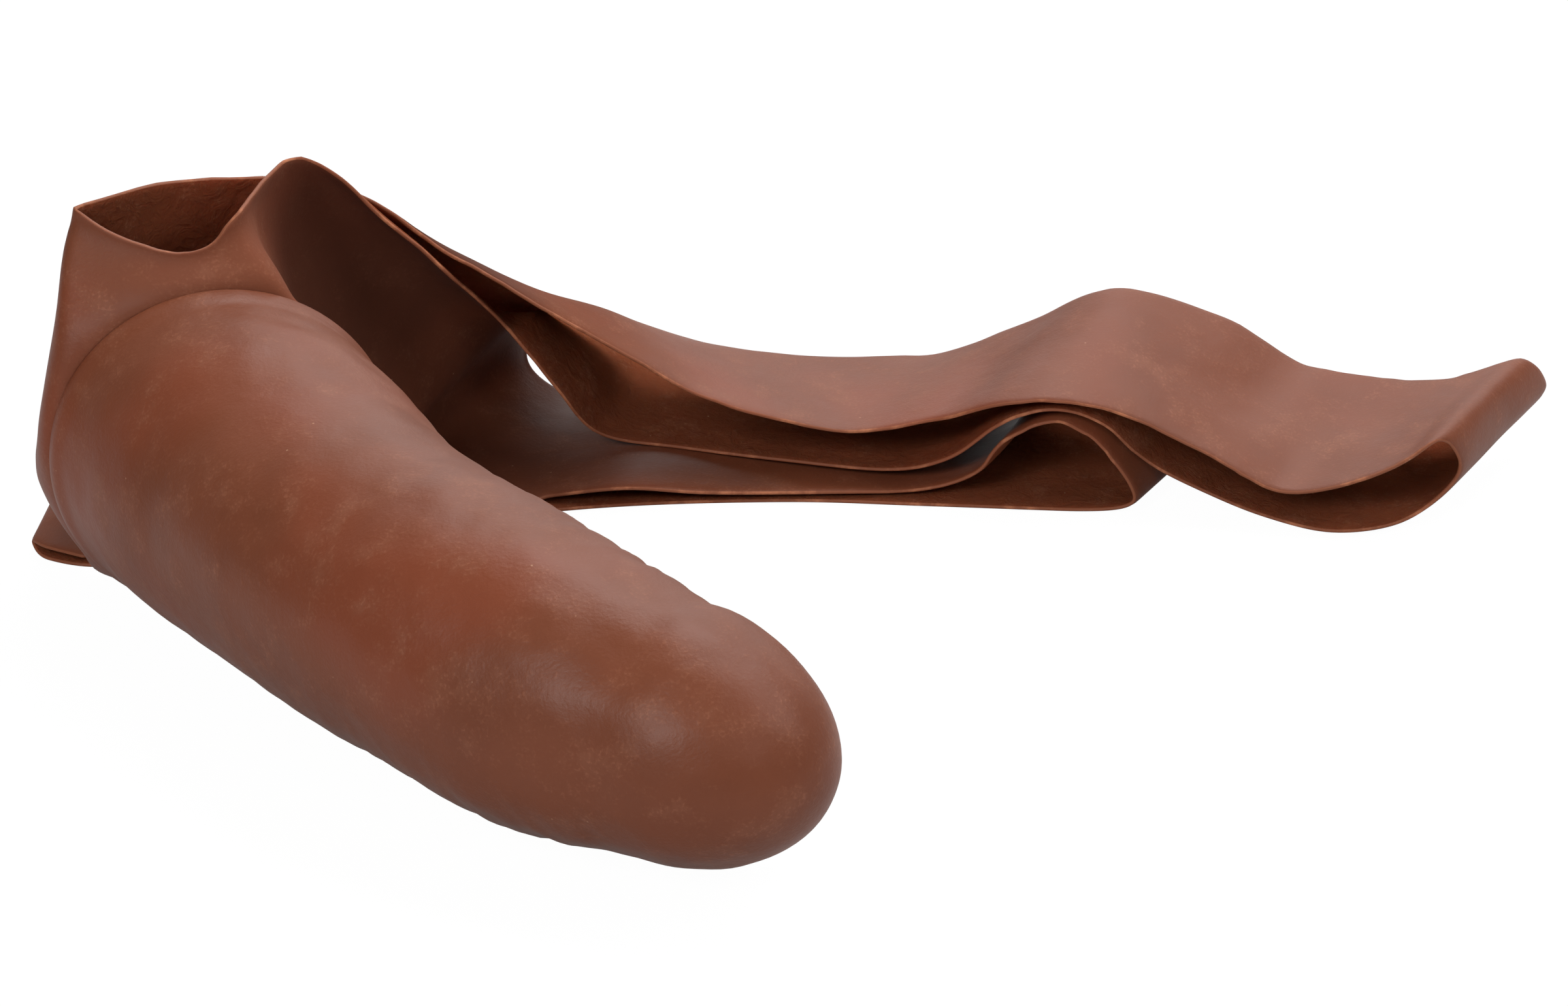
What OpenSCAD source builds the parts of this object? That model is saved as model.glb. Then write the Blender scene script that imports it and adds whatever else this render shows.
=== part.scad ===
// Hollow moulded rubber sheath on a thin rubber belt: a front panel with two endless bands.
// The belt lies flopped to one side, as it does when it is laid on a table.
// Millimetres, +Z up, +X to the right and +Y away from the side that the sheath points to.

/* [Sheath] */
// Length of the sheath along its centreline, from root to tip
sheath_len = 176; // [165:1:186]
// Outer diameter where the sheath meets the belt
root_d = 70; // [66:1:74]
// Outer diameter half way along
mid_d = 61; // [57:1:66]
// Outer diameter behind the domed tip
neck_d = 47; // [44:1:54]
// Length of the domed tip
dome_len = 33; // [28:1:40]
// Rubber thickness of the sheath
sheath_wall = 2.4; // [1.6:0.2:3.2]

/* [Root ring] */
// Thickness of the lap ring between the sheath and the belt
ring_t = 2.4; // [1.6:0.2:3.2]
// How far the lap ring stands out past the sheath
ring_lip = 0.6; // [0.3:0.1:1]
// Width of the panel's hem glued behind the lap ring
hem_w = 4; // [3:0.5:6]

/* [Belt] */
// Rubber thickness of the belt
sheet = 1.2; // [0.8:0.1:1.5]
// Width of the waistband
waist_w = 50; // [46:1:54]
// Width of the lower band
lower_w = 56; // [52:1:60]

/* [Hidden] */

// Depth of the flat that the sheath's weight presses into its underside
rest_flat = 0.5;
// From the points below to the middle of the whole object's box
home = [5.8, -5.1];

// Root of the sheath: place on the table, and the way that the sheath leaves it
root_xy = [-115.3, 1.8];
root_az = -75;
root_el = 0.5;
// Way that the sheath's centreline runs on the table, at its root and at its tip
leave_az = -57;
run_az = -32;
root_r = root_d / 2;
ring_r = root_r + ring_lip;
root_z = ring_r * cos(root_el) + ring_t / 2 * sin(root_el);
root = [root_xy.x, root_xy.y, root_z];
root_n = ray(root_az, root_el);
root_u = [-sin(root_az), cos(root_az), 0];
root_v = cross(root_n, root_u);

RING_SIDES = 72;
SHEATH_SIDES = 28;
SHEATH_RINGS = 14;
DOME_RINGS = 6;

// Waistband, front run then end fold then rear run: near edge x, y, z, ruling azimuth and
// elevation, crown
WAIST = [
    [-61, 69, 34.5, 84, -18, 4], [-51, 69.5, 21, 78, -9, 3], [-42, 73, 8, 72, 1, 1],
    [-23, 71, 5.4, 68, 1, 0], [0, 65, 5, 66, 1, 0], [23, 59, 5.4, 64, 2, 0],
    [36, 55, 10, 62, 6, 0], [47, 51, 20, 62, 9, 0], [58, 48.5, 24.4, 62, 10, 0],
    [69, 50, 21, 61, 9, 0], [80, 53, 10, 61, 5, 0], [94, 50, 3.6, 60, 3, 0],
    [106, 42, 1.8, 59, 3, 0], [119, 36, 1.2, 58, 3, 0], [133, 38, 2, 58, 4, 0],
    [143, 43, 6, 58, 4, 0], [147.5, 44, 13, 58, 2, 0], [142, 40, 21.5, 59, 1, 0],
    [132, 36, 17, 59, 5, 0], [121, 35.5, 12.5, 57, 8, 0], [109, 38, 9.5, 58, 11, 0],
    [100, 40, 12.5, 61, 8, 0], [91, 43, 17, 60, 4, 0], [76, 45.5, 24, 61, 7, 0],
    [58, 45.5, 28, 63, 10, 0], [46, 47.5, 26, 62, 10, 0], [34, 54, 19.5, 62, 7, 0],
    [17, 57, 16, 65, 0, 0], [0, 57.5, 17.7, 66, -4, 0], [-17, 57, 24, 68, -11, 0],
    [-34, 57, 33.7, 70, -18, -1], [-51, 57, 44.3, 71, -24, -2], [-65, 58, 52.5, 72, -31, -2],
    [-75, 59, 58.6, 72, -38, -2], [-86, 58, 68, 74, -50, -1], [-98, 54, 75.5, 78, -63, 0],
    [-112, 47, 79.5, 82, -74, 0], [-130, 35, 82.7, 92, -80, 0], [-145.1, 14, 85.2, 110, -75, 0]];

// Lower band, top layer then right fold then bottom layer then left fold
LOWER = [
    [-52, 51, 2.6, 86, -0.5, 0], [-35, 49.5, 5.2, 80, -2, 0], [-17, 51, 3.4, 74, 0, 0],
    [10, 53, 2.6, 68, 0, 0], [30, 54, 2.8, 64, 1, 0], [42, 52.5, 7.5, 62, 5, 0],
    [48, 51, 15.5, 62, 9, 0], [58, 49.5, 21.4, 62, 10, 0], [68, 49.5, 16.5, 61, 8, 0],
    [76, 48, 6.5, 60, 3, 0], [75, 47.5, 1.8, 60, 1, 0], [60, 48.5, 0.5, 61, 0, 0],
    [30, 51, 0.5, 64, 0, 0], [0, 53, 0.5, 70, 0, 0], [-40, 50, 0.5, 80, 0, 0],
    [-80, 40, 0.5, 86, 0, 0], [-120, 27, 0.5, 88, 0, 0], [-145, 20, 0.5, 88, 0, 0],
    [-158.5, 23.5, 0.6, 87, 0, 0], [-162.3, 28.5, 2.2, 86, 3, 0], [-158.5, 23.5, 3.2, 86, 8, 0],
    [-150, 18.5, 3.4, 88, 13, 0]];

// Top edge of the front panel, from the left corner to the waistband: point, azimuth and
// elevation of the sheet below it, how far the sheet keeps them, angle round the ring
TOP_EDGE = [
    [-145.1, 14, 85.2, 90, -84, 8, 145], [-135.1, 8.5, 80.9, 90, -86, 5, 128],
    [-125.5, 6.5, 78.1, 90, -86, 3, 111], [-120.8, 7, 77.9, 90, -86, 3, 100],
    [-116.3, 9, 78.8, 90, -86, 4, 88], [-113.4, 11, 82, 100, -86, 6, 78],
    [-111, 14, 84.1, 120, -84, 8, 70], [-109.2, 22, 85.2, 140, -76, 12, 63],
    [-106.6, 32, 85.6, 115, -70, 18, 57], [-102, 42, 85.7, 95, -64, 26, 50],
    [-94.5, 45, 80.7, 84, -58, 34, 43], [-87, 50, 70.4, 82, -50, 42, 35],
    [-75, 55, 55.8, 82, -40, 50, 27], [-68.5, 62, 47, 84, -30, 56, 19],
    [-61, 69, 34.5, 86, -20, 58, 12]];

WAIST_STEPS = 90;
LOWER_STEPS = 60;
BAND_ROWS = 5;
PANEL_ROWS = 7;

function ray(az, el) = [cos(el) * cos(az), cos(el) * sin(az), sin(el)];
function unit(v) = v / max(norm(v), 0.001);
function mix(a, b, t) = a + (b - a) * t;
function smooth(t) = t * t * (3 - 2 * t);
function ease(a, b, t) = smooth(min(max((t - a) / (b - a), 0), 1));
function xyz(s) = [s[0], s[1], s[2]];
// From the points above to the finished place, with no rubber below the table
function rest(p) = [p.x - home.x, p.y - home.y, max(p.z, 0)];
function above(p, z) = [p.x, p.y, max(p.z, z)];

// Smooth curve through the points p, at u from 0 to 1
function through(p, u) =
    let(n = len(p) - 1, i = min(floor(u * n), n - 1), t = u * n - i,
        a = p[max(i - 1, 0)], b = p[i], c = p[i + 1], d = p[min(i + 2, n)])
    b + (c - a) * t / 2 + (a - 2.5 * b + 2 * c - d / 2) * t * t
      + (1.5 * b - a / 2 - 1.5 * c + d / 2) * t * t * t;

// Cubic from a to b with end tangents ta and tb
function hermite(a, ta, b, tb, t) =
    a * (2 * t * t * t - 3 * t * t + 1) + ta * (t * t * t - 2 * t * t + t)
    + b * (3 * t * t - 2 * t * t * t) + tb * (t * t * t - t * t);

// Grid of points across a band of width w that follows its stations
function band_grid(stations, w, steps) = [for (i = [0:steps])
    let(s = through(stations, i / steps), e = 0.002,
        ahead = xyz(through(stations, min(i / steps + e, 1))),
        behind = xyz(through(stations, max(i / steps - e, 0))),
        across = ray(s[3], s[4]), crown = s[5],
        out = unit(cross(across, ahead - behind)), chord = w - 8 * crown * crown / (3 * w))
    [for (j = [0:BAND_ROWS]) let(v = j / BAND_ROWS)
        xyz(s) + across * chord * v - out * crown * 4 * v * (1 - v)]];

// Normals of a grid, one-sided at its borders
function normals(g, closed = false) =
    let(n = len(g), m = len(g[0]))
    [for (i = [0:n - 1])
        let(before = closed ? (i + n - 1) % n : max(i - 1, 0),
            after = closed ? (i + 1) % n : min(i + 1, n - 1))
        [for (j = [0:m - 1])
            unit(cross(g[after][j] - g[before][j],
                       g[i][min(j + 1, m - 1)] - g[i][max(j - 1, 0)]))]];

// Closed shell of thickness t round a grid with its normals
module skin(g, nrm, t, closed = false) {
    n = len(g);
    m = len(g[0]);
    front = [for (i = [0:n - 1], j = [0:m - 1]) rest(g[i][j] + nrm[i][j] * t / 2)];
    back = [for (i = [0:n - 1], j = [0:m - 1]) rest(g[i][j] - nrm[i][j] * t / 2)];
    b = n * m;
    spans = closed ? n : n - 1;
    faces = [
        for (i = [0:spans - 1], j = [0:m - 2])
            let(p = i * m + j, q = (i + 1) % n * m + j)
            each [[p, q + 1, q], [p, p + 1, q + 1],
                  [b + p, b + q, b + q + 1], [b + p, b + q + 1, b + p + 1]],
        for (i = [0:spans - 1])
            let(p = i * m, q = (i + 1) % n * m)
            each [[p, q, b + q], [p, b + q, b + p],
                  [p + m - 1, b + q + m - 1, q + m - 1], [p + m - 1, b + p + m - 1, b + q + m - 1]],
        if (!closed) for (j = [0:m - 2])
            let(p = (n - 1) * m + j)
            each [[j, b + j + 1, j + 1], [j, b + j, b + j + 1],
                  [p, p + 1, b + p + 1], [p, b + p + 1, b + p]]];
    polyhedron(concat(front, back), faces);
}

// Points down the middle of the sheath on the table, from root to tip
PLAN_STEPS = 40;
function sheath_az(t) = mix(leave_az, run_az, ease(0.15, 0.85, t));
sheath_plan = [for (i = 0, p = root_xy; i <= PLAN_STEPS;
    p = p + sheath_len / PLAN_STEPS * [cos(sheath_az(i / PLAN_STEPS)), sin(sheath_az(i / PLAN_STEPS))],
    i = i + 1) p];

// Outer radius of the sheath at t along it, before its dome
function sheath_r(t) = mix(mix(root_r, mid_d / 2, ease(-0.12, 0.5, t)), neck_d / 2, ease(0.47, 1, t));

// One ring of the sheath at t along it, with its radius
function sheath_ring(t, r) =
    let(u = min(t, 0.9999) * PLAN_STEPS, i = floor(u),
        p = mix(sheath_plan[i], sheath_plan[i + 1], u - i),
        z = mix(root_z, sheath_r(t) - rest_flat, ease(0, 0.25, t)),
        n = unit(mix(root_n, ray(sheath_az(t), 0), ease(0, 0.35, t))),
        side = unit(cross([0, 0, 1], n)), up = cross(n, side))
    [for (k = [0:SHEATH_SIDES - 1]) let(a = 360 * k / SHEATH_SIDES)
        rest([p.x, p.y, z] + n * ring_t / 2 * (1 - ease(0, 0.4, t)) + r * (side * cos(a) + up * sin(a)))];

// Rings of the sheath's outer face, or of its inner face when wall is not 0, up to the tip
function sheath_rings(wall) =
    let(dome_t = (dome_len - wall) / sheath_len, body_t = 1 - dome_len / sheath_len)
    [for (i = [0:SHEATH_RINGS]) let(t = body_t * i / SHEATH_RINGS)
        each sheath_ring(t, sheath_r(t) - wall),
     for (i = [1:DOME_RINGS]) let(a = 86 * i / DOME_RINGS, t = body_t + dome_t * sin(a))
        each sheath_ring(t, (sheath_r(body_t) - wall) * cos(a))];

module sheath() {
    m = SHEATH_SIDES;
    n = SHEATH_RINGS + DOME_RINGS;
    outer = sheath_rings(0);
    inner = sheath_rings(sheath_wall);
    b = len(outer);
    faces = [
        for (i = [0:n - 1], k = [0:m - 1])
            let(p = i * m + k, q = i * m + (k + 1) % m)
            each [[p, p + m, q + m], [p, q + m, q], [b + p, b + q + m, b + p + m], [b + p, b + q, b + q + m]],
        for (k = [0:m - 1])
            let(q = (k + 1) % m)
            each [[k, q, b + q], [k, b + q, b + k]],
        for (k = [1:m - 2])
            each [[n * m, n * m + k, n * m + k + 1], [b + n * m, b + n * m + k + 1, b + n * m + k]]];
    color("#9a5a44") polyhedron(concat(outer, inner), faces);
}

module root_ring() {
    color("#8a4c38") translate(rest(root)) multmatrix([for (r = [0:2]) [root_u[r], root_v[r], root_n[r], 0]])
        rotate_extrude($fn = RING_SIDES)
            translate([root_r - hem_w, -ring_t / 2])
                square([hem_w + ring_lip, ring_t]);
}

// Border of the front panel, clockwise from the left end of its top edge: point, handle that
// the sheet reaches it with, the normal where a band meets it, and the angle round the ring
TOP_STEPS = 28;
LEG_STEPS = 4;
BOTTOM_STEPS = 11;
waist = band_grid(WAIST, waist_w, WAIST_STEPS);
waist_nrm = normals(waist);
lower = band_grid(LOWER, lower_w, LOWER_STEPS);
lower_nrm = normals(lower);
// End of a band, with shift added to its first handle and fading out
function seam(g, nrm, flip, end, a0, a1, back, reach, shift = [0, 0, 0]) =
    let(i = end ? len(g) - 1 : 0, k = end ? len(g) - 2 : 1)
    [for (s = [0:BAND_ROWS]) let(j = back ? BAND_ROWS - s : s, t = s / BAND_ROWS)
        [g[i][j], unit(g[k][j] - g[i][j]) * reach + shift * (1 - t), nrm[i][j] * flip, mix(a0, a1, t)]];
function free_edge(a, b, handle_a, handle_b, bulge, a0, a1, n) =
    [for (i = [1:n - 1]) let(t = i / n)
        [mix(a, b, t) + bulge * 4 * t * (1 - t), mix(handle_a, handle_b, t), undef, mix(a0, a1, t)]];
waist_end = WAIST_STEPS;
lower_end = LOWER_STEPS;
far = BAND_ROWS;
corner = TOP_EDGE[len(TOP_EDGE) - 1];
panel_edge = concat(
    [for (i = [1:TOP_STEPS - 1]) let(s = through(TOP_EDGE, i / TOP_STEPS))
        [xyz(s), -ray(s[3], s[4]) * s[5], undef, s[6]]],
    seam(waist, waist_nrm, -1, false, 12, -8, false, 12, -ray(corner[3], corner[4]) * corner[5]),
    free_edge(waist[0][far], lower[0][far], [12, 0, 0], [20, 0, 0], [-8, 0, -1], -8, -16,
              LEG_STEPS),
    seam(lower, lower_nrm, 1, false, -16, -38, true, 18),
    free_edge(lower[0][0], lower[lower_end][0], [0, 13, 0], [0, 13, 0], [0, -3, -2], -38, -140,
              BOTTOM_STEPS),
    seam(lower, lower_nrm, 1, true, -140, -168, false, 2),
    free_edge(lower[lower_end][far], waist[waist_end][far], [0, 5, 0], [0, 2, 0], [0, 0, -3],
              -168, -184, LEG_STEPS),
    seam(waist, waist_nrm, -1, true, -184, -215, true, 1));

// From the ring out to the border. The front stands up from the ring, and the right side turns
// back into a deep pocket.
pocket_depth = 42;
pocket_sink = [8, 0, 8];
// Middle of the pocket's floor, on the bottom run of the lower band
pocket_floor = 1.6 * sheet;
function panel_grid() = [for (e = panel_edge)
    let(a = e[3], radial = root_u * cos(a) + root_v * sin(a), right = -60 < a && a < 100,
        foot = root - root_n * (ring_t + sheet) / 2,
        hem = foot + radial * (root_r - hem_w), turn = foot + radial * (ring_r - sheet / 2),
        upward = right ? ease(58, 72, a) : ease(-0.3, 0.75, sin(a)),
        pocket = right ? ease(64, 25, a) * ease(-60, -20, a) : 0,
        spread = mix(0.35, 0.6, ease(130, 150, abs(a))),
        wall = unit(mix(-root_n, root_v, upward) + radial * spread) * norm(e[0] - turn) / 3,
        leave = mix(wall, -root_n * pocket_depth - pocket_sink - [0, 0, turn.z], pocket))
    [hem, turn, for (j = [1:PANEL_ROWS])
        above(hermite(turn, leave * 3, e[0], e[1] * 3, j / PANEL_ROWS),
              pocket_floor * ease(64, 25, a) * ease(-75, -50, a))]];

module front_panel() {
    g = panel_grid();
    free = normals(g, true);
    m = len(g[0]) - 1;
    nrm = [for (i = [0:len(g) - 1]) [for (j = [0:m])
        j == m && panel_edge[i][2] != undef ? panel_edge[i][2] : j == 0 ? root_n : free[i][j]]];
    color("#a0604a") skin(g, nrm, sheet, true);
}

module waistband() {
    color("#a8684f") skin(waist, waist_nrm, sheet);
}

module lower_band() {
    color("#94543f") skin(lower, lower_nrm, sheet);
}

sheath();
root_ring();
front_panel();
waistband();
lower_band();
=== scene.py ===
import math
import bpy
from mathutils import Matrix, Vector, noise


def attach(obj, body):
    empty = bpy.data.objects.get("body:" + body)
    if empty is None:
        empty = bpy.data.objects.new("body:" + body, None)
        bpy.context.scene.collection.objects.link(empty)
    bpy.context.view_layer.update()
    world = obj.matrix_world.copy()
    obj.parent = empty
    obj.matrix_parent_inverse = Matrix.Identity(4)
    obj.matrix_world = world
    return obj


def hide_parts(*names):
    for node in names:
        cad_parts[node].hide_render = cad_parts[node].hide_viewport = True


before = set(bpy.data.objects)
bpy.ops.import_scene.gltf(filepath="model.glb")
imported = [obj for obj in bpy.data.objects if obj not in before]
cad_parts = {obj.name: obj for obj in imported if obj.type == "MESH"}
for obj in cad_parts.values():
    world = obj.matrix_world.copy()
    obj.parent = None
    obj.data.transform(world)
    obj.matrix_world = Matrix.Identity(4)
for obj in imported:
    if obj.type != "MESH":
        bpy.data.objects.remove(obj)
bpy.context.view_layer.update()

bpy.context.scene.view_settings.view_transform = "Standard"
noise.seed_set(1)        # vector noise would start from the clock, and differ each run

# All lengths below are millimetres on the table, as in the part's source, until place() turns
# them into metres round the middle of the part.
home = Vector((5.8, -5.1, 0))
millimetre = 0.001


def place(point):
    return (point - home) * millimetre


def ray(azimuth, elevation=0):
    a, e = math.radians(azimuth), math.radians(elevation)
    return Vector((math.cos(e) * math.cos(a), math.cos(e) * math.sin(a), math.sin(e)))


def mix(a, b, t):
    return a + (b - a) * t


def ease(a, b, t):
    t = min(max((t - a) / (b - a), 0), 1)
    return t * t * (3 - 2 * t)


# Smooth curve through rows of numbers, at u from 0 to 1
def through(rows, u):
    last = len(rows) - 1
    i = min(int(u * last), last - 1)
    t = u * last - i
    a, b, c, d = rows[max(i - 1, 0)], rows[i], rows[i + 1], rows[min(i + 2, last)]
    return [q + (r - p) * t / 2 + (p - 2.5 * q + 2 * r - s / 2) * t * t
            + (1.5 * q - p / 2 - 1.5 * r + s / 2) * t * t * t for p, q, r, s in zip(a, b, c, d)]


# From a to b, leaving and arriving with the given handles
def hermite(a, leave, b, arrive, t):
    return (a * (2 * t ** 3 - 3 * t * t + 1) + leave * (t ** 3 - 2 * t * t + t)
            + b * (3 * t * t - 2 * t ** 3) + arrive * (t ** 3 - t * t))


# Points across a band that follows its stations. A crown bows it outwards, and narrows its
# chord so that the rubber keeps its width.
def bandGrid(stations, width, steps, rows):
    grid = []
    nearby = 0.002
    for i in range(steps + 1):
        u = i / steps
        now = through(stations, u)
        ahead = Vector(through(stations, min(u + nearby, 1))[:3])
        behind = Vector(through(stations, max(u - nearby, 0))[:3])
        across, crown = ray(now[3], now[4]), now[5]
        out = across.cross(ahead - behind).normalized()
        chord = width - 8 * crown * crown / (3 * width)
        grid.append([Vector(now[:3]) + across * chord * j / rows
                     - out * crown * 4 * (j / rows) * (1 - j / rows) for j in range(rows + 1)])
    return grid


def deselect():
    if bpy.context.object and bpy.context.object.mode != "OBJECT":
        bpy.ops.object.mode_set(mode="OBJECT")
    bpy.ops.object.select_all(action="DESELECT")


# A grid primitive whose vertices are moved onto rows of points
def clothe(name, grid):
    deselect()
    columns, rows = len(grid) - 1, len(grid[0]) - 1
    bpy.ops.mesh.primitive_grid_add(x_subdivisions=columns, y_subdivisions=rows, size=1)
    piece = bpy.context.object
    piece.name = piece.data.name = name
    for vertex in piece.data.vertices:
        i = round((vertex.co.x + 0.5) * columns)
        j = round((vertex.co.y + 0.5) * rows)
        vertex.co = place(grid[i][j])
    return piece


def applied(piece, kind, **settings):
    modifier = piece.modifiers.new(kind, kind)
    for key, value in settings.items():
        setattr(modifier, key, value)
    bpy.context.view_layer.objects.active = piece
    bpy.ops.object.modifier_apply(modifier=modifier.name)


def editAll(piece):
    deselect()
    bpy.context.view_layer.objects.active = piece
    piece.select_set(True)
    bpy.ops.object.mode_set(mode="EDIT")
    bpy.ops.mesh.select_all(action="SELECT")


# Where the sheath leaves the front: its middle and direction, and the lap ring with its hem
root = {"x": -115.3, "y": 1.8, "azimuth": -75, "elevation": 0.5, "diameter": 70, "lip": 0.6,
        "ring": 2.4, "hem": 4}

# leave and run are its azimuths at the root and towards the tip, restFlat is how far it
# flattens on the table, and lift raises its end
sheath = {"length": 176, "dome": 33, "wall": 2.4, "middle": 61, "neck": 47, "leave": -57,
          "run": -32, "restFlat": 0.5, "lift": 2.0, "sides": 128, "rows": 150, "domeRows": 26,
          "planSteps": 40, "merge": 0.02, "poleFade": 20}

rootNormal = ray(root["azimuth"], root["elevation"])
turn = math.radians(root["azimuth"])
rootSide = Vector((-math.sin(turn), math.cos(turn), 0))
rootUp = rootNormal.cross(rootSide)
rootRadius = root["diameter"] / 2
ringRadius = rootRadius + root["lip"]
tilt = math.radians(root["elevation"])
rootHeight = ringRadius * math.cos(tilt) + root["ring"] / 2 * math.sin(tilt)
rootCentre = Vector((root["x"], root["y"], rootHeight))


def sheathAzimuth(t):
    return mix(sheath["leave"], sheath["run"], ease(0.15, 0.85, t))


# The sheath's middle line, seen from above
plan = [Vector((root["x"], root["y"], 0))]
for i in range(sheath["planSteps"] + 1):
    stride = ray(sheathAzimuth(i / sheath["planSteps"])) * sheath["length"] / sheath["planSteps"]
    plan.append(plan[-1] + stride)


def sheathRadius(t):
    base = mix(rootRadius, sheath["middle"] / 2, ease(-0.12, 0.5, t))
    return mix(base, sheath["neck"] / 2, ease(0.47, 1, t))


# How far the moulded surface stands out or in: slow dents, wrinkles across the sheath towards
# its neck, the shallow groove and rim behind the dome, and where it is slimmer, at its end,
# under its end and under its middle. Scales are per millimetre, angles in radians round it.
relief = {"ring": 30, "dents": 0.6, "dentScale": 0.05, "fineDents": 0.28, "fineScale": 0.13,
          "wrinkles": 0.5, "wrinkleScale": 0.17, "wrinkleRound": 0.035, "wrinkleSlant": 5,
          "groove": 0.5, "grooveAt": 0.8, "grooveWide": 0.025,
          "rim": 0.25, "rimAt": 0.85, "rimWide": 0.03,
          "slimEnd": 0.9, "slimUnderEnd": 1.3, "slimUnder": 3.2, "under": 4.13}


def sheathRelief(t, a):
    along = t * sheath["length"]
    ring = Vector((math.cos(a), math.sin(a))) * relief["ring"]
    spot = Vector((along, ring.x, ring.y))
    dents = noise.noise(spot * relief["dentScale"]) * relief["dents"]
    dents += noise.noise(spot * relief["fineScale"] + Vector((5, 9, 2))) * relief["fineDents"]

    slant = along + relief["wrinkleSlant"] * math.sin(a + 0.6)
    across = relief["wrinkleRound"]
    wrinkle = noise.noise(Vector((slant * relief["wrinkleScale"], ring.x * across,
                                  ring.y * across + 4)))
    wrinkle = (1 - abs(wrinkle) * 2.6) * relief["wrinkles"]
    wrinkle *= ease(0.3, 0.6, t) * (1 - ease(0.79, 0.83, t))
    wrinkle *= 0.12 + 0.88 * ease(-0.8, 0.5, math.cos(a + 0.6))

    groove = math.exp(-((t - relief["grooveAt"]) / relief["grooveWide"]) ** 2) * relief["groove"]
    groove -= math.exp(-((t - relief["rimAt"]) / relief["rimWide"]) ** 2) * relief["rim"]
    groove *= 0.3 + 0.7 * ease(-0.9, 0.3, math.cos(a - 0.9))

    slimmer = ease(0.6, 0.82, t) * relief["slimEnd"]
    slimmer += ease(0.74, 0.86, t) * relief["slimUnderEnd"] * ease(0, -0.9, math.sin(a))
    middle = ease(0.08, 0.3, t) * (1 - ease(0.48, 0.72, t))
    slimmer += middle * relief["slimUnder"] * ease(0.1, 0.95, math.cos(a - relief["under"]))
    return (dents + wrinkle) * ease(0.0, 0.08, t) * (1 - ease(0.86, 0.99, t)) - groove - slimmer


# Point on the sheath at t along it and angle a round it, at radius r. The relief fades out
# towards the tip's pole, where r is small.
def sheathPoint(t, a, r):
    r += sheathRelief(t, a) * min(r / sheath["poleFade"], 1)
    u = min(max(t, 0), 0.9999) * sheath["planSteps"]
    i = int(u)
    along = plan[i].lerp(plan[i + 1], u - i)
    z = mix(rootCentre.z, sheathRadius(t) - sheath["restFlat"], ease(0, 0.25, t))
    z += sheath["lift"] * ease(0.45, 0.9, t)
    normal = rootNormal.lerp(ray(sheathAzimuth(t)), ease(0, 0.35, t)).normalized()
    side = Vector((0, 0, 1)).cross(normal).normalized()
    up = normal.cross(side)
    point = Vector((along.x, along.y, z)) + normal * root["ring"] / 2 * (1 - ease(0, 0.4, t))
    if t < 0:
        point += normal * t * sheath["length"]
    point += r * (side * math.cos(a) + up * math.sin(a))
    point.z = max(point.z, 0)
    return point


def makeSheath():
    domeSpan = sheath["dome"] / sheath["length"]
    bodyEnd = 1 - domeSpan
    # Back of the ring with its corner eased, body, then dome
    stations = [(-root["ring"] / sheath["length"], ringRadius - 0.1),
                (-0.75 * root["ring"] / sheath["length"], ringRadius)]
    for i in range(sheath["rows"] + 1):
        t = bodyEnd * i / sheath["rows"]
        lip = root["lip"] * (1 - ease(0, 0.02, t))
        stations.append((t, sheathRadius(t) + lip))
    for i in range(1, sheath["domeRows"] + 1):
        a = math.pi / 2 * i / sheath["domeRows"]
        stations.append((bodyEnd + domeSpan * math.sin(a), sheathRadius(bodyEnd) * math.cos(a)))
    sides = sheath["sides"]
    grid = [[sheathPoint(t, 2 * math.pi * (k % sides) / sides, r) for t, r in stations]
            for k in range(sides + 1)]
    piece = clothe("sheathSkin", grid)
    editAll(piece)
    bpy.ops.mesh.remove_doubles(threshold=sheath["merge"] * millimetre)
    bpy.ops.mesh.normals_make_consistent(inside=False)
    bpy.ops.object.mode_set(mode="OBJECT")
    bpy.ops.object.shade_smooth()
    applied(piece, "SOLIDIFY", thickness=sheath["wall"] * millimetre, offset=-1)
    return piece


sheathSkin = makeSheath()
print("sheath", len(sheathSkin.data.polygons))

# soft is where the left side is rounded, from x to x in metres; clear is the height in
# millimetres over which dents and ragged edges set in
belt = {"thick": 1.2, "waistWidth": 50, "lowerWidth": 56, "waistSteps": 200, "lowerSteps": 150,
        "rows": 14, "merge": 0.05, "dents": 0.8, "dentScale": 0.06, "ragged": 0.35,
        "raggedScale": 0.45, "clear": (7, 14), "soft": (-0.116, -0.126), "softPasses": 12,
        "rimCrease": 0.7}

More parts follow.
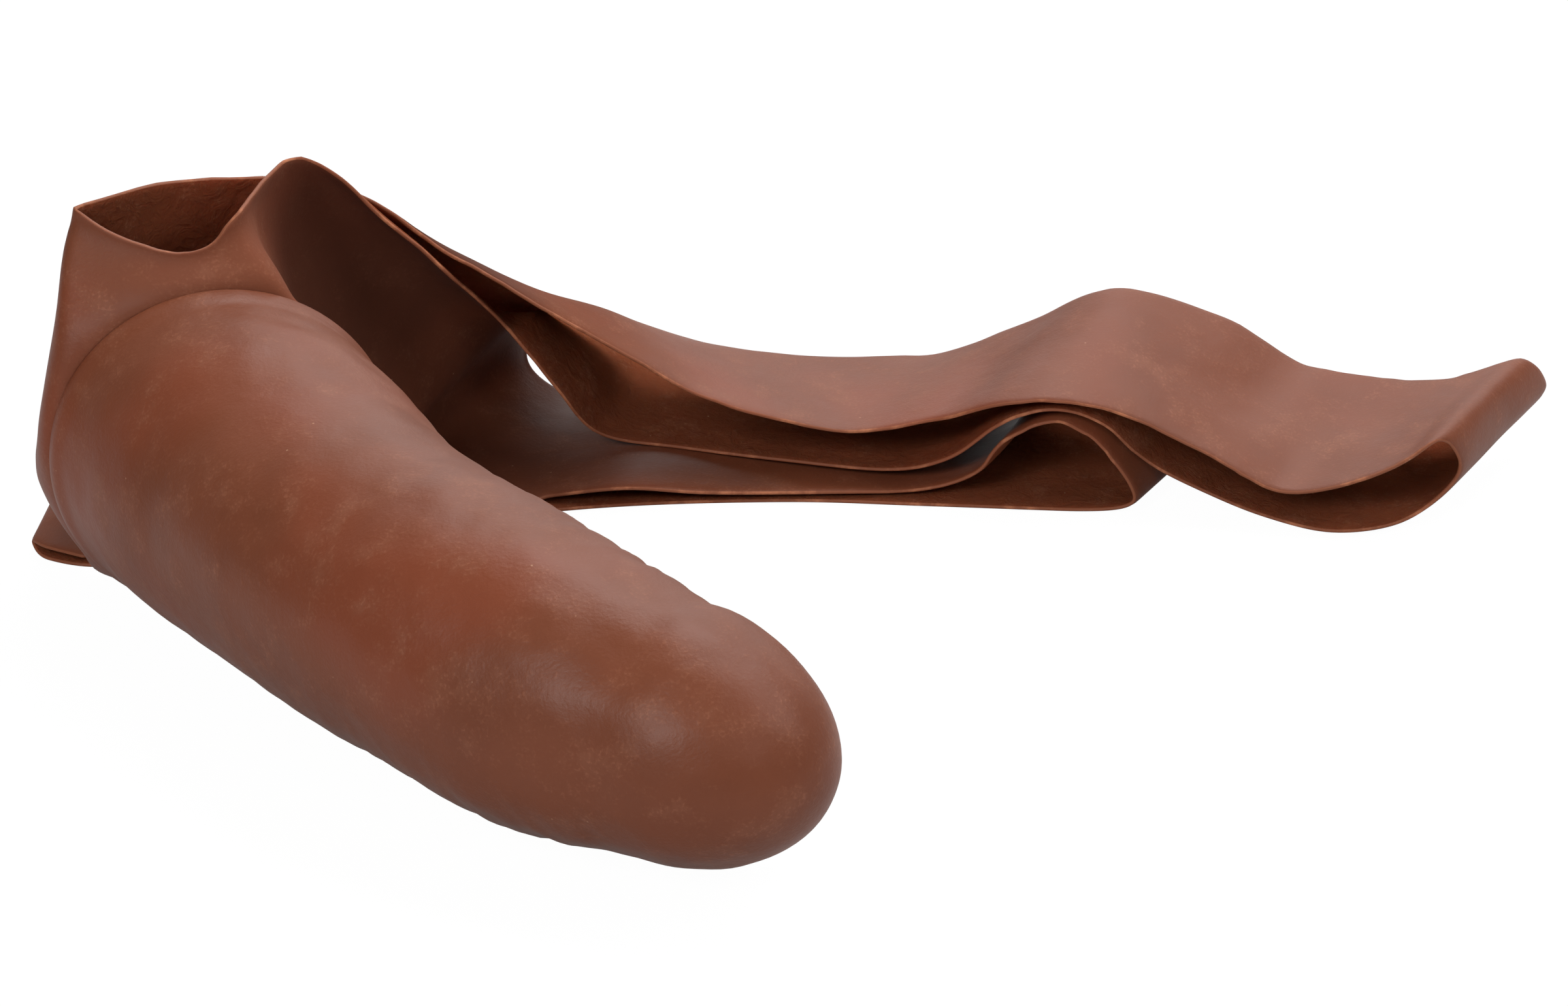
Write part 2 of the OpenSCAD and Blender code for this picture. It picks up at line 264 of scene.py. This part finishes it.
# Waistband, front run then end fold then rear run: near edge x, y, z, ruling azimuth and
# elevation, crown
waistStations = [
    (-61, 69, 34.5, 84, -18, 4), (-51, 69.5, 21, 78, -9, 3), (-42, 73, 8, 72, 1, 1),
    (-23, 71, 5.4, 68, 1, 0), (0, 65, 5, 66, 1, 0), (23, 59, 5.4, 64, 2, 0),
    (36, 55, 10, 62, 6, 0), (47, 51, 20, 62, 9, 0), (58, 48.5, 24.4, 62, 10, 0),
    (69, 50, 21, 61, 9, 0), (80, 53, 10, 61, 5, 0), (94, 50, 3.6, 60, 3, 0),
    (106, 42, 1.8, 59, 3, 0), (119, 36, 1.2, 58, 3, 0), (133, 38, 2, 58, 4, 0),
    (143, 43, 6, 58, 4, 0), (147.5, 44, 13, 58, 2, 0), (142, 40, 21.5, 59, 1, 0),
    (132, 36, 17, 59, 5, 0), (121, 35.5, 12.5, 57, 8, 0), (109, 38, 9.5, 58, 11, 0),
    (100, 40, 12.5, 61, 8, 0), (91, 43, 17, 60, 4, 0), (76, 45.5, 24, 61, 7, 0),
    (58, 45.5, 28, 63, 10, 0), (46, 47.5, 26, 62, 10, 0), (34, 54, 19.5, 62, 7, 0),
    (17, 57, 16, 65, 0, 0), (0, 57.5, 17.7, 66, -4, 0), (-17, 57, 24, 68, -11, 0),
    (-34, 57, 33.7, 70, -18, -1), (-51, 57, 44.3, 71, -24, -2), (-65, 58, 52.5, 72, -31, -2),
    (-75, 59, 58.6, 72, -38, -2), (-86, 58, 68, 74, -50, -1), (-98, 54, 75.5, 78, -63, 0),
    (-112, 47, 79.5, 82, -74, 0), (-130, 35, 82.7, 92, -80, 0), (-145.1, 14, 85.2, 110, -75, 0)]

# Lower band, top layer then right fold then bottom layer then left fold
lowerStations = [
    (-52, 51, 2.6, 86, -0.5, 0), (-35, 49.5, 5.2, 80, -2, 0), (-17, 51, 3.4, 74, 0, 0),
    (10, 53, 2.6, 68, 0, 0), (30, 54, 2.8, 64, 1, 0), (42, 52.5, 7.5, 62, 5, 0),
    (48, 51, 15.5, 62, 9, 0), (58, 49.5, 21.4, 62, 10, 0), (68, 49.5, 16.5, 61, 8, 0),
    (76, 48, 6.5, 60, 3, 0), (75, 47.5, 1.8, 60, 1, 0), (60, 48.5, 0.5, 61, 0, 0),
    (30, 51, 0.5, 64, 0, 0), (0, 53, 0.5, 70, 0, 0), (-40, 50, 0.5, 80, 0, 0),
    (-80, 40, 0.5, 86, 0, 0), (-120, 27, 0.5, 88, 0, 0), (-145, 20, 0.5, 88, 0, 0),
    (-158.5, 23.5, 0.6, 87, 0, 0), (-162.3, 28.5, 2.2, 86, 3, 0), (-158.5, 23.5, 3.2, 86, 8, 0),
    (-150, 18.5, 3.4, 88, 13, 0)]

# Top edge of the front panel, from the left corner to the waistband: point, azimuth and
# elevation of the sheet below it, how far it keeps them, angle round the ring
topEdge = [
    (-145.1, 14, 85.2, 90, -84, 8, 145), (-135.1, 8.5, 80.9, 90, -86, 5, 128),
    (-125.5, 6.5, 78.1, 90, -86, 3, 111), (-120.8, 7, 77.9, 90, -86, 3, 100),
    (-116.3, 9, 78.8, 90, -86, 4, 88), (-113.4, 11, 82, 100, -86, 6, 78),
    (-111, 14, 84.1, 120, -84, 8, 70),
    (-109.2, 22, 85.2, 140, -66, 12, 63), (-106.6, 32, 85.6, 110, -50, 20, 57),
    (-102, 42, 85.7, 90, -38, 30, 50), (-94.5, 45, 80.7, 80, -32, 38, 43),
    (-87, 50, 70.4, 78, -28, 44, 35),
    (-75, 55, 55.8, 80, -24, 50, 27), (-68.5, 62, 47, 84, -22, 56, 19),
    (-61, 69, 34.5, 86, -20, 58, 12)]

# Front panel. The pairs of angles are degrees round the ring, where the panel meets the ends of
# the bands, where it dives into the pocket, where it is kept above the table and where it is
# drawn taut.
front = {"rows": 20, "waistRight": (12, -8), "lowerRight": (-16, -38), "lowerLeft": (-140, -168),
         "waistLeft": (-184, -215), "topSteps": 54, "gapSteps": 10, "footSteps": 33,
         "pocketTop": (66, 44), "pocketFoot": (-60, -20), "pocketDepth": 42, "pocketDrop": 8,
         "tableTop": (64, 25), "tableFoot": (-75, -50), "tableGap": 1.6,
         "tautTop": (56, 40), "tautFoot": (-60, -36), "tautPasses": 60}

waist = bandGrid(waistStations, belt["waistWidth"], belt["waistSteps"], belt["rows"])
lower = bandGrid(lowerStations, belt["lowerWidth"], belt["lowerSteps"], belt["rows"])


# Border of the panel along the end of a band: point, the handle it is reached with, angle
# round the ring. shift is added to the handle at the first end and fades out.
def seam(grid, atEnd, a0, a1, back, reach, shift=None):
    first, second = (-1, -2) if atEnd else (0, 1)
    last = len(grid[0]) - 1
    border = []
    for s in range(last + 1):
        j = last - s if back else s
        handle = (grid[second][j] - grid[first][j]).normalized() * reach
        if shift:
            handle += shift * (1 - s / last)
        border.append((grid[first][j], handle, mix(a0, a1, s / last)))
    return border


# Border of the panel between two bands, from a to b, bowed by bulge in its middle
def freeEdge(a, b, handleA, handleB, bulge, a0, a1, count):
    border = []
    for i in range(1, count):
        t = i / count
        border.append((mix(a, b, t) + Vector(bulge) * 4 * t * (1 - t),
                       mix(Vector(handleA), Vector(handleB), t), mix(a0, a1, t)))
    return border


def panelBorder():
    border = []
    count = front["topSteps"]
    for i in range(1, count):
        now = through(topEdge, i / count)
        border.append((Vector(now[:3]), -ray(now[3], now[4]) * now[5], now[6]))
    corner = topEdge[-1]
    cornerHandle = -ray(corner[3], corner[4]) * corner[5]
    waistRight, lowerRight = front["waistRight"], front["lowerRight"]
    lowerLeft, waistLeft = front["lowerLeft"], front["waistLeft"]
    border += seam(waist, False, *waistRight, False, 12, cornerHandle)
    border += freeEdge(waist[0][-1], lower[0][-1], (12, 0, 0), (20, 0, 0), (-8, 0, -1),
                       waistRight[1], lowerRight[0], front["gapSteps"])
    border += seam(lower, False, *lowerRight, True, 18)
    border += freeEdge(lower[0][0], lower[-1][0], (0, 13, 0), (0, 13, 0), (0, -3, -2),
                       lowerRight[1], lowerLeft[0], front["footSteps"])
    border += seam(lower, True, *lowerLeft, False, 2)
    border += freeEdge(lower[-1][-1], waist[-1][-1], (0, 5, 0), (0, 2, 0), (0, 0, -3),
                       lowerLeft[1], waistLeft[0], front["gapSteps"])
    border += seam(waist, True, *waistLeft, True, 1)
    return border


# 1 from the first pair's second angle down to the second pair's, and fading out beyond them
def between(top, foot, angle):
    return ease(*top, angle) * ease(*foot, angle)


# How the rubber leaves the ring towards a spot on the border: up at the top, outwards round the
# rest, and far back and down into the pocket
def leaving(turn, spot, radial, angle):
    right = -60 < angle < 100
    upward = ease(62, 70, angle) if right else ease(-0.3, 0.75, math.sin(math.radians(angle)))
    pocket = between(front["pocketTop"], front["pocketFoot"], angle) if right else 0
    outward = mix(0.35, 0.6, ease(130, 150, abs(angle)))
    leave = mix(-rootNormal, rootUp, upward) + radial * outward
    leave = leave.normalized() * (spot - turn).length / 3
    drop = Vector((front["pocketDrop"], 0, turn.z + front["pocketDrop"]))
    return mix(leave, -rootNormal * front["pocketDepth"] - drop, pocket)


def panelGrid():
    grid = []
    border = panelBorder()
    rows = front["rows"]
    foot = rootCentre - rootNormal * (root["ring"] + belt["thick"]) / 2
    for spot, handle, angle in border:
        a = math.radians(angle)
        radial = rootSide * math.cos(a) + rootUp * math.sin(a)
        hem = foot + radial * (rootRadius - root["hem"])
        turn = foot + radial * (ringRadius - belt["thick"] / 2)
        leave = leaving(turn, spot, radial, angle)
        lowest = front["tableGap"] * belt["thick"]
        lowest *= between(front["tableTop"], front["tableFoot"], angle)
        column = [hem, mix(hem, turn, 0.5)]
        for j in range(rows + 1):
            point = hermite(turn, leave * 3, spot, handle * 3, j / rows)
            point.z = max(point.z, lowest)
            column.append(point)
        grid.append(column)
    # The pocket is drawn taut from column to column, and keeps its borders
    for again in range(front["tautPasses"]):
        eased = [list(column) for column in grid]
        for i in range(1, len(grid) - 1):
            hold = between(front["tautTop"], front["tautFoot"], border[i][2])
            for j in range(3, len(grid[i]) - 1):
                weight = 0.5 * hold * ease(0, 4, len(grid[i]) - 1 - j)
                eased[i][j] = mix(grid[i][j], (grid[i - 1][j] + grid[i + 1][j]) / 2, weight)
        grid = eased
    grid.append(grid[0])
    return grid


# Vertices on the open edges of a sheet
def cutEdge(piece):
    faces = {}
    for face in piece.data.polygons:
        for key in face.edge_keys:
            faces[key] = faces.get(key, 0) + 1
    return {index for key, count in faces.items() if count == 1 for index in key}


# Rubber bends softly where the bands leave the front on the left
def soften(piece):
    rim = cutEdge(piece)
    group = piece.vertex_groups.new(name="soft")
    for vertex in piece.data.vertices:
        if vertex.index not in rim:
            group.add([vertex.index], ease(*belt["soft"], vertex.co.x), "REPLACE")
    applied(piece, "SMOOTH", factor=0.5, iterations=belt["softPasses"], vertex_group="soft")
    piece.vertex_groups.clear()


# Slow dents where the belt stands clear of the table, and slightly ragged cut edges
def roughen(piece):
    rim = cutEdge(piece)
    for vertex in piece.data.vertices:
        spot = vertex.co * 1000
        clear = ease(*belt["clear"], spot.z)
        dent = noise.noise(spot * belt["dentScale"]) * belt["dents"] * millimetre * clear
        vertex.co += vertex.normal * dent
        if vertex.index in rim:
            tatter = noise.noise_vector(spot * belt["raggedScale"])
            vertex.co += tatter * belt["ragged"] * millimetre * clear


def makeBelt():
    panel = clothe("belt", panelGrid())
    waistPiece = clothe("waist", waist)
    lowerPiece = clothe("lower", lower)
    deselect()
    for piece in (waistPiece, lowerPiece, panel):
        piece.select_set(True)
    bpy.context.view_layer.objects.active = panel
    bpy.ops.object.join()
    editAll(panel)
    bpy.ops.mesh.remove_doubles(threshold=belt["merge"] * millimetre)
    bpy.ops.mesh.normals_make_consistent(inside=False)
    bpy.ops.object.mode_set(mode="OBJECT")
    # The outer side of the front, above the root, faces the camera
    above = place(rootCentre + rootUp * 50)
    nearest = min(panel.data.polygons, key=lambda face: (face.center - above).length)
    if nearest.normal.y > 0:
        editAll(panel)
        bpy.ops.mesh.flip_normals()
        bpy.ops.object.mode_set(mode="OBJECT")
    bpy.ops.object.shade_smooth()
    soften(panel)
    roughen(panel)
    # Nothing dips below the table
    for vertex in panel.data.vertices:
        vertex.co.z = max(vertex.co.z, belt["thick"] * millimetre / 2)
    panel.data.materials.clear()
    for material in (outerRubber, innerRubber, cutRubber):
        panel.data.materials.append(material)
    for face in panel.data.polygons:
        face.material_index = 0
    applied(panel, "SOLIDIFY", thickness=belt["thick"] * millimetre, offset=0,
            use_even_offset=False, material_offset=1, material_offset_rim=2,
            edge_crease_rim=belt["rimCrease"])
    applied(panel, "SUBSURF", levels=1, render_levels=1)
    return panel


# A shader socket: arithmetic on it adds Math nodes, and node() adds any other node
class Wire:
    def __init__(self, tree, socket=None):
        self.tree, self.socket = tree, socket

    def node(self, kind, settings=None, inputs=None, out=0):
        made = self.tree.nodes.new("ShaderNode" + kind)
        for key, value in (settings or {}).items():
            setattr(made, key, value)
        for key, value in (inputs or {}).items():
            if isinstance(value, Wire):
                self.tree.links.new(value.socket, made.inputs[key])
            else:
                made.inputs[key].default_value = value
        return Wire(self.tree, made.outputs[out])

    def maths(self, operation, first, second):
        return self.node("Math", {"operation": operation}, {0: first, 1: second})

    def __add__(self, other):
        return self.maths("ADD", self, other)

    def __mul__(self, other):
        return self.maths("MULTIPLY", self, other)

    def __sub__(self, other):
        return self.maths("SUBTRACT", self, other)

    def __rsub__(self, other):
        return self.maths("SUBTRACT", other, self)

    __radd__, __rmul__ = __add__, __mul__

    # 0 below low, 1 above high
    def step(self, low, high):
        return self.node("MapRange", {"clamp": True, "interpolation_type": "SMOOTHSTEP"},
                         {"Value": self, "From Min": low, "From Max": high})

    # From one colour to another, with this as the factor
    def blend(self, low, high):
        return self.node("Mix", {"data_type": "RGBA"}, {0: self, 6: low, 7: high}, out=2)


def startMaterial(name):
    material = bpy.data.materials.new(name)
    material.use_nodes = True
    material.node_tree.nodes.clear()
    return material, Wire(material.node_tree)


def finish(surface, kind):
    output = surface.tree.nodes.new("ShaderNodeOutput" + kind)
    surface.tree.links.new(surface.socket, output.inputs["Surface"])


# Moulded rubber: cloudy browns, dust, fine scratches and soft undulations, and a painted shade
# in the hollow behind the fold. The hollow's middle is in millimetres on the table, and the
# painted shade and the duller roughness fade out from it over ranges in metres.
rubber = {
    "brown": (0.168, 0.048, 0.0215, 1), "dark": (0.15, 0.0425, 0.019, 1),
    "warm": (0.215, 0.046, 0.019, 1), "pale": (0.21, 0.075, 0.04, 1),
    "dust": (0.42, 0.24, 0.15, 1), "edge": (0.42, 0.15, 0.07, 1),
    # Next: the colour of the painted shade in the hollow behind the fold, the hollow's middle,
    # the range over which the painted shade fades, and the range and amount of the duller
    # roughness
    "paintedShade": (0.05, 0.0125, 0.005, 1), "hollowAt": (-90, 58, 58),
    "paintedShadeRange": (0.022, 0.05), "hollowDull": (0.045, 0.085, 0.45),
    "speckScale": 260.0, "bump": 0.75, "bumpDepth": 0.0006,
    "glowReach": (1.0, 0.28, 0.12), "glowDepth": 0.004}

# Noise: scale per metre on the object, detail, roughness, distortion
patterns = {"cloud": (38.0, 5.0, 0.55, 0.0), "red": (17.0, 2.0, 0.5, 0.0),
            "pale": (110.0, 6.0, 0.65, 0.0), "grain": (1500.0, 2.0, 0.5, 0.0),
            "wave": (70.0, 1.0, 0.5, 0.0), "creases": (240.0, 6.0, 0.65, 1.4)}


def shade(name, tint):
    return tuple(min(channel * tint, 1) for channel in rubber[name][:3]) + (1,)


def pattern(spot, name):
    scale, detail, rough, distortion = patterns[name]
    return spot.node("TexNoise", inputs={"Vector": spot, "Scale": scale, "Detail": detail,
                                         "Roughness": rough, "Distortion": distortion})


def makeRubber(name, gloss, tint=1.0, leather=0.0, edge=False, specular=0.22, glow=0.0,
               paintedShade=0.0):
    material, start = startMaterial(name)
    spot = start.node("TexCoord", out="Object")
    cloud, red, pale, grain = (pattern(spot, kind) for kind in ("cloud", "red", "pale", "grain"))
    colour = cloud.step(0.32, 0.62).blend(shade("dark", tint), shade("brown", tint))
    colour = (red.step(0.5, 0.7) * 0.45).blend(colour, shade("warm", tint))
    colour = (pale.step(0.5, 0.74) * 0.55).blend(colour, shade("pale", tint))
    scratches = grain.step(0.5, 0.72) * pale.step(0.4, 0.7) * 0.6
    colour = scratches.blend(colour, shade("pale", tint * 1.25))
    if edge:
        colour = (pale.step(0.5, 0.68) * 0.8 + 0.2).blend(colour, shade("edge", 1.0))
    roughness = pale * 0.18 + (gloss - 0.09)
    # Painted shade: the hollow behind the fold is darkened in its colour, standing in for the
    # shadow that falls there, and is made duller by a higher roughness
    if paintedShade:
        centre = tuple(place(Vector(rubber["hollowAt"])))
        away = start.node("VectorMath", {"operation": "DISTANCE"}, {0: spot, 1: centre}, out=1)
        inside = 1 - away.step(*rubber["paintedShadeRange"])
        colour = (inside * paintedShade).blend(colour, shade("paintedShade", tint))
        near, far, dull = rubber["hollowDull"]
        roughness = roughness + (1 - away.step(near, far)) * dull
    # Specks of dust, under half a millimetre wide, in a few of the cells
    cell, chance = (start.node("TexVoronoi", {"feature": "F1"},
                               {"Vector": spot, "Scale": rubber["speckScale"]}, out=out)
                    for out in ("Distance", "Color"))
    speck = (1 - cell.step(0.03, 0.075)) * chance.step(0.8, 0.84)
    colour = (speck * 0.7).blend(colour, rubber["dust"])
    # Slow dents and grain on every side, and crinkles as well on the inner side
    height = pattern(spot, "wave") * 0.9 + pale * 0.6 + grain * 0.1
    if leather:
        height = height + pattern(spot, "creases") * leather
    bump = start.node("Bump", inputs={"Strength": rubber["bump"], "Height": height,
                                      "Distance": rubber["bumpDepth"]})
    skin = start.node("BsdfPrincipled", inputs={
        "Base Color": colour, "Roughness": roughness + speck * 0.2, "Normal": bump,
        "Specular IOR Level": specular, "Subsurface Weight": glow,
        "Subsurface Radius": rubber["glowReach"], "Subsurface Scale": rubber["glowDepth"]})
    finish(skin, "Material")
    return material


# The outer side carries the painted shade in the hollow behind the fold, at three quarters
# strength
outerRubber = makeRubber("outerRubber", 0.47, glow=0.08, paintedShade=0.75)
innerRubber = makeRubber("innerRubber", 0.8, leather=2.2, specular=0.0, glow=0.3)
cutRubber = makeRubber("cutRubber", 0.55, tint=1.1, edge=True)
sheathRubber = makeRubber("sheathRubber", 0.44)
print("materials", len(bpy.data.materials))

beltSkin = makeBelt()
sheathSkin.data.materials.clear()
sheathSkin.data.materials.append(sheathRubber)
print("belt", len(beltSkin.data.polygons))

dressed = ((sheathSkin, "sheath_rubber", ("sheath", "root_ring")),
           (beltSkin, "belt_rubber", ("front_panel", "waistband", "lower_band")))
for piece, slotName, nodes in dressed:
    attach(piece, "root")
    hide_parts(*nodes)

# Floor: white to the camera and mid grey to the light, so that the hollows stay dark
stageLook = {"floorSize": 6, "floorLift": -0.0003, "paper": 0.58, "white": 1.04,
             "cameraWhite": 0.94, "glossWhite": 0.15}
deselect()
bpy.ops.mesh.primitive_plane_add(size=stageLook["floorSize"], location=(0, 0, 0))
floor = bpy.context.object
floor.name = "floor"
for vertex in floor.data.vertices:
    vertex.co.z += stageLook["floorLift"]
floorWhite, start = startMaterial("floorWhite")
paper = start.node("BsdfDiffuse", inputs={"Color": (stageLook["paper"],) * 3 + (1,)})
white = start.node("Emission", inputs={"Color": (1, 1, 1, 1), "Strength": stageLook["white"]})
showing = (start.node("LightPath", out="Is Camera Ray") * stageLook["cameraWhite"]
           + start.node("LightPath", out="Is Glossy Ray") * stageLook["glossWhite"])
finish(start.node("MixShader", inputs={0: showing, 1: paper, 2: white}), "Material")
floor.data.materials.append(floorWhite)

# White wherever the camera looks, and in reflections of the side behind the part; the side
# behind the camera is dim, as it is in a studio
worldLook = {"behind": (0.1, 0.6), "above": (0.4, 0.75), "low": 0.25, "dim": 0.08, "seen": 0.92}
world = bpy.data.worlds.new("studio")
bpy.context.scene.world = world
world.use_nodes = True
world.node_tree.nodes.clear()
sky = Wire(world.node_tree)
around = sky.node("TexCoord", out="Generated")
behind = sky.node("SeparateXYZ", inputs={0: around}, out="Y").step(*worldLook["behind"])
above = sky.node("SeparateXYZ", inputs={0: around}, out="Z").step(*worldLook["above"])
facing = behind * (above * (1 - worldLook["low"]) + worldLook["low"])
seen = (sky.node("LightPath", out="Is Camera Ray")
        + sky.node("LightPath", out="Is Transmission Ray")
        + sky.node("LightPath", out="Is Glossy Ray") * facing)
strength = seen * worldLook["seen"] + worldLook["dim"]
finish(sky.node("Background", inputs={"Color": (1, 1, 1, 1), "Strength": strength}), "World")

# Soft lamps, in metres: place, what each points at, size, and watts
lamps = {"overhead": ((0.2, 0.4, 0.95), (0, 0, 0), (0.9, 0.6), 9.5),
         "right": ((0.85, -0.12, 0.8), (0, 0, 0.03), (0.5, 0.5), 4.5),
         "frontLeft": ((-0.55, -0.95, 0.75), (-0.05, 0, 0.03), (0.45, 0.45), 9),
         "frontRight": ((0.6, -0.94, 0.67), (0, 0, 0.03), (0.35, 0.35), 1.6),
         "back": ((0.3, 1.1, 0.55), (0.05, 0.05, 0.03), (1.5, 0.7), 4.5)}

for name, (location, target, size, watts) in lamps.items():
    deselect()
    bpy.ops.object.light_add(type="AREA", location=location)
    lamp = bpy.context.object
    lamp.name = name
    lamp.data.shape = "RECTANGLE"
    lamp.data.size, lamp.data.size_y = size
    lamp.data.energy = watts
    lamp.rotation_euler = (Vector(target) - Vector(location)).to_track_quat("-Z", "Y").to_euler()

# Camera: the point it looks at, its distance, and its height in degrees above the table
view = {"target": (0, 0, 25), "distance": 800, "elevation": 25, "sensor": 36, "lens": 88.8}
deselect()
elevation = math.radians(view["elevation"])
back = Vector((0, -math.cos(elevation), math.sin(elevation))) * view["distance"]
bpy.ops.object.camera_add(location=place(Vector(view["target"]) + back),
                          rotation=(math.pi / 2 - elevation, 0, 0))
camera = bpy.context.object
camera.data.sensor_width = view["sensor"]
camera.data.lens = view["lens"]
bpy.context.scene.camera = camera
print("stage", len(lamps), "lamps")
